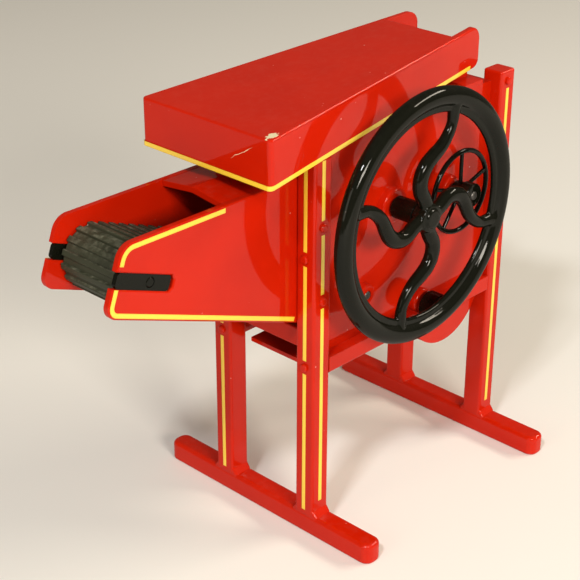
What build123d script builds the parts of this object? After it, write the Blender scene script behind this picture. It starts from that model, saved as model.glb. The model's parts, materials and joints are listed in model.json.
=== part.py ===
from build123d import *
import math
import os

# Corn sheller, a one-eighth scale cast model.  Millimetres.
# +X runs from the feeder to the back, -Y is the flywheel side ("left"), +Z is up.
# The origin is on the floor under the middle of the machine.

os.makedirs("parts", exist_ok=True)

# ---- frames ----
post = 7.3                    # side of the square legs
post_y = 18.0                 # leg centre from the middle plane
front_x = -8.0                # front leg centre
rear_x = 78.7                 # rear leg centre
skid_height = 7.0
skid_half = 45.2
front_post_top = 127.6
rear_post_top = 133.6
outer_y = post_y + post / 2
inner_y = post_y - post / 2
body_front = front_x + post / 2
body_rear = rear_x - post / 2

# ---- body ----
wall_out = 17.8
wall = 1.8
wall_in = wall_out - wall
wall_top = 130.2
rail_low = 56.6
rail_high = 62.0
lobe_x = 57.0                 # grain trough centre
lobe_z = 61.0
lobe_r = 17.9
lane_y = 12.2                 # gears run between this plane and the right wall
boss = 2.7                    # how far shaft bosses stand out
lower_boss_r = 4.6

# ---- gear train ----
module = 1.0
gear_low_y = 12.9
gear_face = 1.9
backlash = 0.14
main_teeth = 36
second_teeth = 20
roller_teeth = 22
idler_teeth = 16
lower_teeth = 16
main_x = 26.0
main_z = 102.4
second_angle = math.radians(-5.1)
roller_angle = math.radians(245.5)
train_angle = math.radians(-67.64)


def axis_from(x, z, angle, distance):
    """Return the point at an angle and distance from another axis."""
    return x + distance * math.cos(angle), z + distance * math.sin(angle)


def centre_distance(teeth_a, teeth_b):
    """Return the distance between two meshing gears' axes."""
    return module * (teeth_a + teeth_b) / 2


second_x, second_z = axis_from(main_x, main_z, second_angle, centre_distance(main_teeth, second_teeth))
roller_x, roller_z = axis_from(main_x, main_z, roller_angle, centre_distance(main_teeth, roller_teeth))
idler_x, idler_z = axis_from(main_x, main_z, train_angle, centre_distance(main_teeth, idler_teeth))
lower_x, lower_z = axis_from(idler_x, idler_z, train_angle, centre_distance(idler_teeth, lower_teeth))

# ---- shafts ----
running = 0.05                # radial clearance of a turning shaft
main_r = 2.0
shaft_r = 1.5
wheel_y = -32.5               # middle of the flywheel rim
shaft_end_y = 19.6            # right ends of the shafts

# ---- feeder ----
side = 2.0                    # thickness of the feeder sides
feeder_top = 120.6
nose_top_x = -76.4
nose_x = -83.42
nose_z = 101.7
side_low = 71.2               # bottom of the feeder side at the front legs
front_axle_x = -67.5
front_axle_z = 107.0
belt_half = 11.9
belt_inner = 7.4
belt_base = 8.6
belt_outer = 9.5
roller_r = 7.15
slot_width = 4.7
slot_end_x = -59.6
deck_front_x = -39.0
belt_run = math.hypot(roller_x - front_axle_x, roller_z - front_axle_z)
belt_tilt = math.atan2(roller_z - front_axle_z, roller_x - front_axle_x)

# ---- hood ----
hood_front_x = -34.0
hood_plate_end_x = 58.8
hood_end_x = 73.0
hood_front_half = 26.2
hood_plate_end_half = 15.4
hood_low_front = 126.2
hood_low_slope = 0.0786
hood_top_front = 141.0
hood_top_slope = 0.0665
hood_wall = 2.0
hinge_x = 66.0
hinge_z = 140.6
pin_r = 1.0

# ---- flywheel ----
wheel_r = 40.3
rim_r = 3.1
spoke_width = 4.0
spoke_depth = 3.4
hub_r = 5.2
hub_front = 1.9               # hub's reach in front of the rim's middle
hub_back = 2.5

# ---- bolts ----
bolt_r = 1.35
bolt_high = 0.9
front_bolts = (60.1, 96.2)    # heights on the front faces of the front legs
side_bolts = ((front_x, 82.4), (front_x, 106.2), (rear_x, 130.0))


def at_y(y):
    """Return the drawing plane at a given Y, seen from the flywheel side."""
    return Plane.XZ.offset(-y)


def save(part, name):
    """Label a finished piece and write it."""
    part.label = name
    export_step(part, "parts/" + name + ".step")


def disc(x, z, y_low, y_high, radius, bore=0.0):
    """Return a round piece with its axis along Y, bored if asked."""
    with BuildPart() as piece:
        with BuildSketch(at_y(y_high)):
            with Locations((x, z)):
                Circle(radius)
                if bore:
                    Circle(bore, mode=Mode.SUBTRACT)
        extrude(amount=y_high - y_low)
    return piece.part


def shaft(x, z, y_low, y_high, radius):
    """Return a plain shaft with chamfered ends."""
    with BuildPart() as piece:
        add(disc(x, z, y_low, y_high, radius))
        chamfer(piece.edges().filter_by(GeomType.CIRCLE), 0.3)
    return piece.part


def ring_drum(x, z, y_low, y_high, radius, bore):
    """Return a drum with rounded rims."""
    with BuildPart() as piece:
        add(disc(x, z, y_low, y_high, radius, bore))
        rims = piece.edges().filter_by(GeomType.CIRCLE).filter_by(lambda e: e.radius > bore + 0.1)
        fillet(rims, 0.5)
    return piece.part


# ---------------------------------------------------------------- frames
def frame_casting(x, top):
    """Return one end frame: a skid bar and its two legs in one casting."""
    with BuildPart() as piece:
        with BuildSketch(Plane.XY):
            with Locations((x, 0)):
                RectangleRounded(post, 2 * skid_half, 3.0)
        extrude(amount=skid_height)
        fillet(piece.edges().group_by(Axis.Z)[-1], 1.5)
        fillet(piece.edges().group_by(Axis.Z)[0], 0.8)
        for y in (-post_y, post_y):
            with BuildSketch(Plane.XY.offset(skid_height)):
                with Locations((x, y)):
                    RectangleRounded(post - 0.4, post + 3.2, 1.0)
            extrude(amount=-2.0)
            with BuildSketch(Plane.XY.offset(skid_height)):
                with Locations((x, y)):
                    RectangleRounded(post - 0.4, post + 3.2, 1.0)
            with BuildSketch(Plane.XY.offset(skid_height + 1.8)):
                with Locations((x, y)):
                    RectangleRounded(post - 0.2, post, 0.9)
            loft()
            with BuildSketch(Plane.XY.offset(skid_height)):
                with Locations((x, y)):
                    RectangleRounded(post, post, 0.9)
            extrude(amount=top - skid_height)
        fillet(piece.edges().group_by(Axis.Z)[-1], 0.7)
    return piece.part


save(frame_casting(front_x, front_post_top), "front_frame")
save(frame_casting(rear_x, rear_post_top), "rear_frame")


def bolt_head(plane, x, y):
    """Return a domed bolt head standing on a plane."""
    with BuildPart() as piece:
        with BuildSketch(plane):
            with Locations((x, y)):
                Circle(bolt_r)
        extrude(amount=bolt_high)
        fillet(piece.faces().sort_by(Axis(plane.origin, plane.z_dir))[-1].edges(), 0.6)
    return piece.part


front_face = Plane((front_x - post / 2, 0, 0), x_dir=(0, 1, 0), z_dir=(-1, 0, 0))
left_face = Plane((0, -outer_y, 0), x_dir=(1, 0, 0), z_dir=(0, -1, 0))
right_face = Plane((0, outer_y, 0), x_dir=(-1, 0, 0), z_dir=(0, 1, 0))
heads = []
for y in (-post_y, post_y):
    for z in front_bolts:
        heads.append(bolt_head(front_face, y, -z))
for x, z in side_bolts:
    heads.append(bolt_head(left_face, x, z))
    heads.append(bolt_head(right_face, -x, z))
save(Compound(children=heads), "frame_bolts")


# ---------------------------------------------------------------- side rails
def rail(y_low, y_high):
    """Return the bar that ties a front leg to a rear leg."""
    with BuildPart() as piece:
        with BuildSketch(at_y(y_high)):
            with Locations(((body_front + body_rear) / 2, (rail_low + rail_high) / 2)):
                Rectangle(body_rear - body_front, rail_high - rail_low)
            with Locations((lower_x, lower_z)):
                Circle(lower_boss_r, mode=Mode.SUBTRACT)
        extrude(amount=y_high - y_low)
        outer = Axis.Y if y_high > 0 else -Axis.Y
        fillet(piece.faces().sort_by(outer)[-1].edges().filter_by(Axis.X).group_by(Axis.Z)[0], 0.8)
    return piece.part


save(rail(-outer_y, -wall_out), "left_rail")
save(rail(wall_out, outer_y), "right_rail")


# ---------------------------------------------------------------- side walls
bearings = (
    (main_x, main_z, 5.6, main_r),
    (second_x, second_z, 4.2, shaft_r),
    (lower_x, lower_z, lower_boss_r, shaft_r),
    (roller_x, roller_z, 3.6, shaft_r),
)


def side_wall(sign):
    """Return a side wall with its trough lobe and its four shaft bosses."""
    face_y = wall_out if sign > 0 else -wall_in
    boss_y = wall_out + boss if sign > 0 else -wall_out
    with BuildPart() as piece:
        with BuildSketch(at_y(face_y)):
            with Locations(((body_front + body_rear) / 2, (rail_low + wall_top) / 2)):
                Rectangle(body_rear - body_front, wall_top - rail_low)
            with Locations((lobe_x, lobe_z)):
                Circle(lobe_r)
        extrude(amount=wall)
        with BuildSketch(at_y(boss_y)):
            for x, z, radius, bore in bearings:
                with Locations((x, z)):
                    Circle(radius)
        extrude(amount=boss)
        rims = piece.faces().sort_by(Axis.Y if sign > 0 else -Axis.Y)[-4:].edges()
        fillet(rims, 0.8)
        with BuildSketch(at_y(wall_out + boss + 1)):
            for x, z, radius, bore in bearings:
                with Locations((x, z)):
                    Circle(bore + running)
        extrude(amount=2 * (wall_out + boss + 1), mode=Mode.SUBTRACT)
    return piece.part


save(side_wall(-1), "left_wall")
save(side_wall(1), "right_wall")


# ---------------------------------------------------------------- body panels
outlet_y = -1.5               # the cobs leave through the rear wall
outlet_z = 80.0
outlet_width = 23.0
outlet_height = 26.0
with BuildPart() as rear_wall:
    with BuildSketch(Plane.YZ.offset(body_rear - wall)):
        with Locations((0, (lobe_z + wall_top) / 2)):
            Rectangle(2 * wall_in, wall_top - lobe_z)
        with Locations((outlet_y, outlet_z)):
            RectangleRounded(outlet_width, outlet_height, 2.0, mode=Mode.SUBTRACT)
    extrude(amount=wall)
save(rear_wall.part, "rear_wall")

apron_z = 67.4
apron_height = 6.4
apron_thick = 2.0
with BuildPart() as front_apron:
    with BuildSketch(Plane.YZ.offset(front_x - apron_thick / 2)):
        with Locations((0, apron_z)):
            Rectangle(2 * inner_y, apron_height)
    extrude(amount=apron_thick)
    fillet(front_apron.edges().filter_by(Axis.Y), 0.6)
save(front_apron.part, "front_apron")

pan_top = 56.6
pan_thick = 1.4
with BuildPart() as grain_pan:
    with BuildSketch(at_y(lane_y)):
        with Locations((lobe_x, lobe_z)):
            Circle(lobe_r)
            Circle(lobe_r - pan_thick, mode=Mode.SUBTRACT)
        with Locations((lobe_x, pan_top + 25)):
            Rectangle(60, 50, mode=Mode.SUBTRACT)
        pan_joint_x = lobe_x - math.sqrt(lobe_r ** 2 - (lobe_z - pan_top) ** 2) + 0.3
        with Locations(((body_front + pan_joint_x) / 2, pan_top - pan_thick / 2)):
            Rectangle(pan_joint_x - body_front, pan_thick)
    extrude(amount=lane_y + wall_in)
save(grain_pan.part, "grain_pan")

rack_bars = 7
rack_pitch = 3.6
rack_slot = 1.7
rack_thick = 1.4
rack_front = (28.5, 81.6)
rack_rear = (body_rear - wall - 0.1, 69.2)
rack_angle = math.atan2(rack_rear[1] - rack_front[1], rack_rear[0] - rack_front[0])
rack_length = math.hypot(rack_rear[0] - rack_front[0], rack_rear[1] - rack_front[1])
rack_middle_x = (rack_front[0] + rack_rear[0]) / 2
rack_middle_z = (rack_front[1] + rack_rear[1]) / 2
with BuildPart() as cob_rack:
    rack_plane = Plane(
        origin=(rack_middle_x, (lane_y - wall_in) / 2, rack_middle_z),
        x_dir=(math.cos(rack_angle), 0, math.sin(rack_angle)),
        z_dir=(-math.sin(rack_angle), 0, math.cos(rack_angle)),
    )
    with BuildSketch(rack_plane):
        Rectangle(rack_length, lane_y + wall_in)
        with GridLocations(0, rack_pitch, 1, rack_bars):
            SlotOverall(rack_length - 8, rack_slot, mode=Mode.SUBTRACT)
    extrude(amount=-rack_thick)
save(cob_rack.part, "cob_rack")


# ---------------------------------------------------------------- feeder
def feeder_side(sign):
    """Return one feeder side panel with its open take-up slot."""
    with BuildPart() as piece:
        with BuildSketch(at_y(inner_y if sign > 0 else -inner_y + side)):
            with BuildLine():
                Polyline(
                    (body_front, feeder_top),
                    (nose_top_x, feeder_top),
                    (nose_x, nose_z),
                    (body_front, side_low),
                    close=True,
                )
            make_face()
        extrude(amount=side)
        ups = piece.edges().filter_by(Axis.Y).sort_by(Axis.X)
        fillet(ups[1], 5.5)
        fillet(piece.edges().filter_by(Axis.Y).sort_by(Axis.X)[0], 3.6)
        slot_plane = Plane(
            origin=(front_axle_x, 0, front_axle_z),
            x_dir=(math.cos(belt_tilt), 0, math.sin(belt_tilt)),
            z_dir=(0, -1, 0),
        )
        slot_back = (slot_end_x - front_axle_x) / math.cos(belt_tilt)
        with BuildSketch(slot_plane.offset(-inner_y - 1)):
            with BuildLine():
                Polyline(
                    (slot_back, slot_width / 2 - 1.2),
                    (slot_back - 1.0, slot_width / 2),
                    (-30, slot_width / 2),
                    (-30, -slot_width / 2),
                    (slot_back - 1.0, -slot_width / 2),
                    (slot_back, -slot_width / 2 + 1.2),
                    close=True,
                )
            make_face()
        extrude(amount=2 * inner_y + 2, mode=Mode.SUBTRACT)
        broad = piece.faces().sort_by(Axis.Y if sign > 0 else -Axis.Y)[-1]
        chamfer(broad.edges(), 0.35)
    return piece.part


save(feeder_side(-1), "left_feeder_side")
save(feeder_side(1), "right_feeder_side")

deck_half = inner_y - side
with BuildPart() as feeder_deck:
    with BuildSketch(Plane.YZ.offset(deck_front_x)):
        with BuildLine():
            Polyline(
                (-deck_half, feeder_top - 1.9),
                (0, feeder_top - 0.4),
                (deck_half, feeder_top - 1.9),
                (deck_half, feeder_top - 0.1),
                (0, feeder_top + 1.4),
                (-deck_half, feeder_top - 0.1),
                close=True,
            )
        make_face()
    extrude(amount=body_front - deck_front_x)
save(feeder_deck.part, "feeder_deck")

belt_plane = Plane(
    origin=(front_axle_x, belt_half, front_axle_z),
    x_dir=(math.cos(belt_tilt), 0, math.sin(belt_tilt)),
    z_dir=(0, -1, 0),
)
rib_count = 60
belt_length = 2 * belt_run + 2 * math.pi * belt_base
rib_pitch = belt_length / rib_count


def belt_spot(distance):
    """Return x, y and turn of a point on the belt's face, in the belt's plane."""
    if distance < belt_run:
        return distance, belt_base, 0.0
    distance -= belt_run
    if distance < math.pi * belt_base:
        turn = distance / belt_base
        return belt_run + belt_base * math.sin(turn), belt_base * math.cos(turn), -math.degrees(turn)
    distance -= math.pi * belt_base
    if distance < belt_run:
        return belt_run - distance, -belt_base, 180.0
    turn = (distance - belt_run) / belt_base
    return -belt_base * math.sin(turn), -belt_base * math.cos(turn), 180.0 - math.degrees(turn)


with BuildPart() as feeder_belt:
    with BuildSketch(belt_plane):
        with Locations((belt_run / 2, 0)):
            SlotCenterToCenter(belt_run, 2 * belt_base)
        for index in range(rib_count):
            rib_x, rib_y, rib_turn = belt_spot((index + 0.5) * rib_pitch)
            with Locations(Location((rib_x, rib_y, 0), (0, 0, rib_turn))):
                RectangleRounded(1.8, 2 * (belt_outer - belt_base), 0.3)
        with Locations((belt_run / 2, 0)):
            SlotCenterToCenter(belt_run, 2 * belt_inner, mode=Mode.SUBTRACT)
    extrude(amount=2 * belt_half)
save(feeder_belt.part, "feeder_belt")

bed_gap = roller_r + 0.7
with BuildPart() as feeder_bed:
    with BuildSketch(belt_plane.offset(-(inner_y - side - belt_half))):
        with Locations((belt_run / 2, 0)):
            Rectangle(belt_run - 2 * bed_gap, 2 * (belt_inner - 0.5))
    extrude(amount=2 * (inner_y - side))
    with BuildSketch(at_y(inner_y)):
        with Locations((roller_x, roller_z)):
            Rectangle(2 * (roller_x - body_front), 60)
    extrude(amount=2 * inner_y, mode=Mode.SUBTRACT)
save(feeder_bed.part, "feeder_bed")


def roller(x, z, bore):
    """Return a belt roller with rounded ends."""
    return ring_drum(x, z, -belt_half + 0.4, belt_half - 0.4, roller_r, bore)


save(roller(front_axle_x, front_axle_z, shaft_r), "front_roller")
save(roller(roller_x, roller_z, shaft_r), "rear_roller")
save(shaft(front_axle_x, front_axle_z, -inner_y + 0.3, inner_y - 0.3, shaft_r), "front_axle")
save(shaft(roller_x, roller_z, -wall_out - boss, shaft_end_y + 1.2, shaft_r), "rear_axle")

# Each take-up bar fills its slot from the closed end to the nose.
take_up_front = -12.2         # ends of the bar along the slot, from the axle
take_up_rear = 7.4
take_up_thick = 1.5
take_up_recess = 0.4
blocks = []
for bar_y in (-inner_y + take_up_recess + take_up_thick, inner_y - take_up_recess):
    with BuildPart() as block:
        with BuildSketch(belt_plane.offset(belt_half - bar_y)):
            with Locations(((take_up_front + take_up_rear) / 2, 0)):
                RectangleRounded(take_up_rear - take_up_front, slot_width - 0.1, 1.2)
            Circle(shaft_r + running, mode=Mode.SUBTRACT)
        extrude(amount=take_up_thick)
    blocks.append(block.part)
save(Compound(children=blocks), "take_up_blocks")


# ---------------------------------------------------------------- hood
def hood_half(x):
    """Return half the hood's width at x."""
    slope = (hood_front_half - hood_plate_end_half) / (hood_plate_end_x - hood_front_x)
    return hood_front_half - slope * (x - hood_front_x)


def hood_plan(x_low, x_high, inset):
    """Return the corners of the hood's tapering plan, set in by a wall."""
    half_low = hood_half(x_low) - inset
    half_high = hood_half(x_high) - inset
    return ((x_low, -half_low), (x_high, -half_high), (x_high, half_high), (x_low, half_low))


def hood_top(x):
    """Return the height of the hood's top at x."""
    return hood_top_front + hood_top_slope * (x - hood_front_x)


def hood_low(x):
    """Return the height of the hood's lower edge at x."""
    return hood_low_front + hood_low_slope * (x - hood_front_x)


with BuildPart() as hood:
    with BuildSketch(Plane.XY.offset(110)):
        with BuildLine():
            Polyline(*hood_plan(hood_front_x, hood_end_x, 0), close=True)
        make_face()
    extrude(amount=60)
    with BuildSketch(at_y(60)):
        with BuildLine():
            Polyline(
                (hood_front_x - 1, hood_low(hood_front_x - 1)),
                (hood_end_x, hood_low(hood_end_x)),
                (hood_end_x, hood_top(hood_end_x)),
                (hood_front_x - 1, hood_top(hood_front_x - 1)),
                close=True,
            )
        make_face()
    extrude(amount=120, mode=Mode.INTERSECT)
    corners = hood.edges().group_by(Axis.X)[0].filter_by(Axis.Z)
    fillet(corners, 1.4)
    rear_ups = hood.edges().filter_by(Axis.Y).group_by(Axis.X)[-1].sort_by(Axis.Z)
    fillet(rear_ups[-1], 4.2)
    fillet(hood.edges().filter_by(Axis.Y).group_by(Axis.X)[-1].sort_by(Axis.Z)[0], 3.0)
    with BuildPart(mode=Mode.PRIVATE) as hollow:
        with BuildSketch(Plane.XY.offset(110)):
            with BuildLine():
                Polyline(*hood_plan(hood_front_x + hood_wall, hood_end_x + 5, hood_wall), close=True)
            make_face()
        extrude(amount=60)
        with BuildSketch(at_y(60)):
            with BuildLine():
                Polyline(
                    (hood_front_x, 100),
                    (hood_end_x + 6, 100),
                    (hood_end_x + 6, 165),
                    (hood_plate_end_x, 165),
                    (hood_plate_end_x, hood_top(hood_plate_end_x) - hood_wall),
                    (hood_front_x, hood_top(hood_front_x) - hood_wall),
                    close=True,
                )
            make_face()
        extrude(amount=120, mode=Mode.INTERSECT)
    add(hollow.part, mode=Mode.SUBTRACT)
    rim = hood.faces().filter_by(lambda f: f.normal_at().Z > 0.9 and f.area > 2000)
    top_edges = rim[0].edges().filter_by(lambda e: e.center().X < hood_plate_end_x - 1)
    fillet(top_edges, 0.7)
    pin_half = hood_half(hinge_x) - hood_wall + 1.2
    add(disc(hinge_x, hinge_z, -pin_half, pin_half, pin_r), mode=Mode.SUBTRACT)
save(hood.part, "hood")
save(disc(hinge_x, hinge_z, -pin_half, pin_half, pin_r), "hood_pin")

lug_out = hood_half(hinge_x) - hood_wall - 0.9
lug = 2.2
with BuildPart() as hood_bracket:
    with BuildSketch(at_y(lug_out)):
        with BuildLine():
            Polyline((61.5, wall_top), (70.5, wall_top), (68.6, hinge_z), (63.4, hinge_z), close=True)
        make_face()
        with Locations((hinge_x, hinge_z)):
            Circle(2.6)
            Circle(pin_r + running, mode=Mode.SUBTRACT)
    extrude(amount=2 * lug_out)
    with BuildSketch(at_y(lug_out - lug)):
        with Locations((hinge_x, 140)):
            Rectangle(20, 16)
    extrude(amount=2 * (lug_out - lug), mode=Mode.SUBTRACT)
    with BuildSketch(Plane.XY.offset(wall_top)):
        with Locations((hinge_x, 0)):
            Rectangle(9.0, 2 * wall_out)
    extrude(amount=1.4)
save(hood_bracket.part, "hood_bracket")


# ---------------------------------------------------------------- flywheel
# Radius and angle in degrees along the middle of an S-shaped spoke.
spoke_stations = (
    (36.0, 67), (27.0, 69), (23.0, 73), (19.5, 82),
    (16.5, 93), (13.3, 104), (9.0, 110), (4.0, 98),
)
hub_low = wheel_y - hub_front
hub_high = wheel_y + hub_back

with BuildPart() as flywheel:
    with BuildSketch(Plane.XY.offset(main_z)):
        with Locations((main_x + wheel_r - rim_r, wheel_y)):
            Circle(rim_r)
        with Locations((main_x + wheel_r - 2 * rim_r - 0.3, wheel_y)):
            RectangleRounded(2.4, 3.6, 0.9)
    revolve(axis=Axis((main_x, 0, main_z), (0, 1, 0)))
    for quarter in range(4):
        with BuildSketch(at_y(wheel_y + spoke_depth / 2)):
            with BuildLine():
                spots = []
                for radius, angle in spoke_stations:
                    turn = math.radians(angle + 90 * quarter)
                    spots.append((main_x + radius * math.cos(turn), main_z + radius * math.sin(turn)))
                Spline(*spots)
            trace(line_width=spoke_width)
        extrude(amount=spoke_depth)
    add(disc(main_x, main_z, hub_low, hub_high, hub_r))
    add(disc(main_x, main_z, hub_low - 1, hub_high + 1, main_r), mode=Mode.SUBTRACT)
save(flywheel.part, "flywheel")

save(shaft(main_x, main_z, hub_low - 0.7, shaft_end_y + 4.0, main_r), "flywheel_shaft")
save(ring_drum(main_x, main_z, -29.6, -21.0, 3.6, main_r), "drive_drum")
save(ring_drum(main_x, main_z, wall_out + boss + 0.3, shaft_end_y + 3.6, 4.0, main_r), "shaft_collar")

# ---------------------------------------------------------------- shelling disc
disc_r = 17.0
with BuildPart() as shelling_disc:
    add(disc(main_x, main_z, -1.6, 1.6, disc_r))
    add(disc(main_x, main_z, -4.0, 4.0, 5.0))
    for ring_r, count in ((14.6, 16), (11.0, 12), (7.6, 8)):
        for index in range(count):
            turn = 2 * math.pi * index / count
            x = main_x + ring_r * math.cos(turn)
            z = main_z + ring_r * math.sin(turn)
            add(disc(x, z, -2.7, 2.7, 0.8))
    add(disc(main_x, main_z, -5, 5, main_r), mode=Mode.SUBTRACT)
save(shelling_disc.part, "shelling_disc")


# ---------------------------------------------------------------- gears
pressure = math.radians(20)


def gear(x, z, teeth, phase, bore):
    """Return an involute spur gear on an axis along Y, one tooth at the phase angle."""
    pitch_r = module * teeth / 2
    base_r = pitch_r * math.cos(pressure)
    tip_r = pitch_r + 0.95 * module
    root_r = pitch_r - 1.25 * module
    half_tooth = (math.pi * module / 2 - backlash) / 2 / pitch_r
    spread = math.tan(pressure) - pressure
    outline = []
    for tooth in range(teeth):
        middle = phase + 2 * math.pi * tooth / teeth
        flank = []
        start_r = max(base_r, root_r)
        for step in range(5):
            radius = start_r + (tip_r - start_r) * step / 4
            roll = math.acos(min(1.0, base_r / radius))
            flank.append((radius, half_tooth + spread - (math.tan(roll) - roll)))
        if root_r < base_r:
            flank.insert(0, (root_r, flank[0][1] + 0.02))
        for radius, half in flank:
            outline.append((x + radius * math.cos(middle - half), z + radius * math.sin(middle - half)))
        for radius, half in reversed(flank):
            outline.append((x + radius * math.cos(middle + half), z + radius * math.sin(middle + half)))
    with BuildPart() as piece:
        with BuildSketch(at_y(gear_low_y + gear_face)):
            with BuildLine():
                Polyline(*outline, close=True)
            make_face()
            with Locations((x, z)):
                Circle(bore, mode=Mode.SUBTRACT)
        extrude(amount=gear_face)
    return piece.part


def mesh_phase(phase, teeth, follower_teeth, angle):
    """Return the follower's phase that puts its gap on the driver's tooth."""
    ratio = teeth / follower_teeth
    return angle + math.pi - ratio * (phase - angle) - math.pi / follower_teeth


idler_phase = mesh_phase(0.0, main_teeth, idler_teeth, train_angle)
save(gear(main_x, main_z, main_teeth, 0.0, main_r), "main_gear")
second_phase = mesh_phase(0.0, main_teeth, second_teeth, second_angle)
save(gear(second_x, second_z, second_teeth, second_phase, shaft_r), "second_pinion")
roller_phase = mesh_phase(0.0, main_teeth, roller_teeth, roller_angle)
save(gear(roller_x, roller_z, roller_teeth, roller_phase, shaft_r), "roller_gear")
save(gear(idler_x, idler_z, idler_teeth, idler_phase, shaft_r + running), "idler_gear")
lower_phase = mesh_phase(idler_phase, idler_teeth, lower_teeth, train_angle)
save(gear(lower_x, lower_z, lower_teeth, lower_phase, shaft_r), "lower_gear")
save(shaft(idler_x, idler_z, gear_low_y - 0.5, wall_in, shaft_r), "idler_stub")

# ---------------------------------------------------------------- second shaft
second_wheel_y = -23.6
second_wheel_r = 14.2
wire_r = 0.8
second_spokes = 5
with BuildPart() as spoked_wheel:
    with BuildSketch(Plane.XY.offset(second_z)):
        with Locations((second_x + second_wheel_r - wire_r, second_wheel_y)):
            Circle(wire_r)
    revolve(axis=Axis((second_x, 0, second_z), (0, 1, 0)))
    for index in range(second_spokes):
        turn = math.radians(90 + 360 * index / second_spokes)
        spoke_plane = Plane(
            origin=(second_x, second_wheel_y, second_z),
            x_dir=(0, 1, 0),
            z_dir=(math.cos(turn), 0, math.sin(turn)),
        )
        with BuildSketch(spoke_plane.offset(2.5)):
            Circle(0.65)
        extrude(amount=second_wheel_r - wire_r - 2.5)
    add(disc(second_x, second_z, second_wheel_y - 1.6, second_wheel_y + 1.6, 3.2))
    add(disc(second_x, second_z, second_wheel_y - 3, second_wheel_y + 3, shaft_r), mode=Mode.SUBTRACT)
save(spoked_wheel.part, "spoked_wheel")
save(shaft(second_x, second_z, -29.4, shaft_end_y, shaft_r), "second_shaft")
save(ring_drum(second_x, second_z, -29.2, second_wheel_y - 1.6, 3.9, shaft_r), "second_drum")

with BuildPart() as cob_paddle:
    with BuildSketch(at_y(10)):
        for index in range(4):
            with Locations((second_x, second_z)):
                Rectangle(15.0, 1.5, rotation=45 * index)
        with Locations((second_x, second_z)):
            Circle(3.0)
            Circle(shaft_r, mode=Mode.SUBTRACT)
    extrude(amount=20)
save(cob_paddle.part, "cob_paddle")

# ---------------------------------------------------------------- lower shaft
save(shaft(lower_x, lower_z, -28.0, shaft_end_y, shaft_r), "lower_shaft")
save(ring_drum(lower_x, lower_z, -27.6, -outer_y - 0.4, 4.8, shaft_r), "lower_drum")

with BuildPart() as fan:
    with BuildSketch(at_y(9)):
        for index in range(3):
            with Locations((lower_x, lower_z)):
                Rectangle(12.0, 1.0, rotation=60 * index)
        with Locations((lower_x, lower_z)):
            Circle(2.8)
            Circle(shaft_r, mode=Mode.SUBTRACT)
    extrude(amount=20)
save(fan.part, "fan")

# ---------------------------------------------------------------- rag iron
pivot_x = 46.0
pivot_z = 121.0
rag_low_y = -12.8
rag_high_y = -5.0
with BuildPart() as rag_iron:
    with BuildSketch(at_y(rag_high_y)):
        with BuildLine():
            Spline((pivot_x, pivot_z), (40.0, 119.6), (34.5, 114.6), (32.6, 108.0))
        trace(line_width=2.0)
        with Locations((pivot_x, pivot_z)):
            Circle(2.6)
            Circle(pin_r + running, mode=Mode.SUBTRACT)
    extrude(amount=rag_high_y - rag_low_y)
save(rag_iron.part, "rag_iron")
save(disc(pivot_x, pivot_z, -wall_in, rag_high_y + 0.8, pin_r), "rag_iron_pin")

with BuildPart() as rag_iron_spring:
    with BuildSketch(Plane.XY.offset(pivot_z)):
        for index in range(4):
            with Locations((pivot_x + 1.75, rag_low_y - 0.6 - 0.62 * index)):
                Circle(0.4)
    revolve(axis=Axis((pivot_x, 0, pivot_z), (0, 1, 0)))
save(rag_iron_spring.part, "rag_iron_spring")
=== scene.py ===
"""Corn sheller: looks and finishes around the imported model."""

import json
import logging
import math
from dataclasses import dataclass, field, replace
from enum import Enum

import bpy
from mathutils import Matrix, Vector

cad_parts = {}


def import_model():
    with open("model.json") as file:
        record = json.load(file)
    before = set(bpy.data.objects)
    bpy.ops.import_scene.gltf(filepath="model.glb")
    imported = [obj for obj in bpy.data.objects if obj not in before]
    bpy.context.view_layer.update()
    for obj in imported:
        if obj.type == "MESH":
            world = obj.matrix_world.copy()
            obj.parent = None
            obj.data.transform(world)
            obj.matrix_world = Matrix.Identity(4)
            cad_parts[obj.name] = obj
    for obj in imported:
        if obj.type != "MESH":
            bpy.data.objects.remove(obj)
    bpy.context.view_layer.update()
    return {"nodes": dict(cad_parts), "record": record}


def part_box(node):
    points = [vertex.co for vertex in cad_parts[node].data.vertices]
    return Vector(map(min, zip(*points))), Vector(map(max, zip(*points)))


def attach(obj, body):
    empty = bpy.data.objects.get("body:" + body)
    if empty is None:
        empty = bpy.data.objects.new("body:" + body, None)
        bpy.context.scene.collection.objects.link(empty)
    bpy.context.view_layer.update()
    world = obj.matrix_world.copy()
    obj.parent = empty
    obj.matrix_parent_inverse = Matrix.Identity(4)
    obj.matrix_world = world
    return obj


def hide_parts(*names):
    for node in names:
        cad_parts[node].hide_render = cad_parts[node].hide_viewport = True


MM = 0.001

# The machine's own directions: the feeder is at the front, and the flywheel is on the left.
BACK = Vector((1, 0, 0))
RIGHT = Vector((0, 1, 0))
UP = Vector((0, 0, 1))

LOG = logging.getLogger("corn_sheller")

Colour = tuple[float, float, float]
Point = tuple[float, float, float]
Feed = bpy.types.NodeSocket | float


class Side(Enum):
    """The two sides of the machine, by the sign of Y."""

    LEFT = -1
    RIGHT = 1


class Rise(Enum):
    """How a mask goes from 0 to 1."""

    SMOOTH = "SMOOTHSTEP"
    STRAIGHT = "LINEAR"


def mm(x: float, y: float, z: float) -> Vector:
    """Return a point given in millimetres as metres."""
    return Vector((x, y, z)) * MM


def clear_selection() -> None:
    """Leave edit mode and deselect every object."""
    if bpy.context.object and bpy.context.object.mode != "OBJECT":
        bpy.ops.object.mode_set(mode="OBJECT")
    bpy.ops.object.select_all(action="DESELECT")


def select_only(*objects: bpy.types.Object) -> None:
    """Select some objects alone.

    Args:
        objects: The objects, the last of which becomes active.
    """
    clear_selection()
    for item in objects:
        item.select_set(True)
    bpy.context.view_layer.objects.active = objects[-1]


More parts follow.
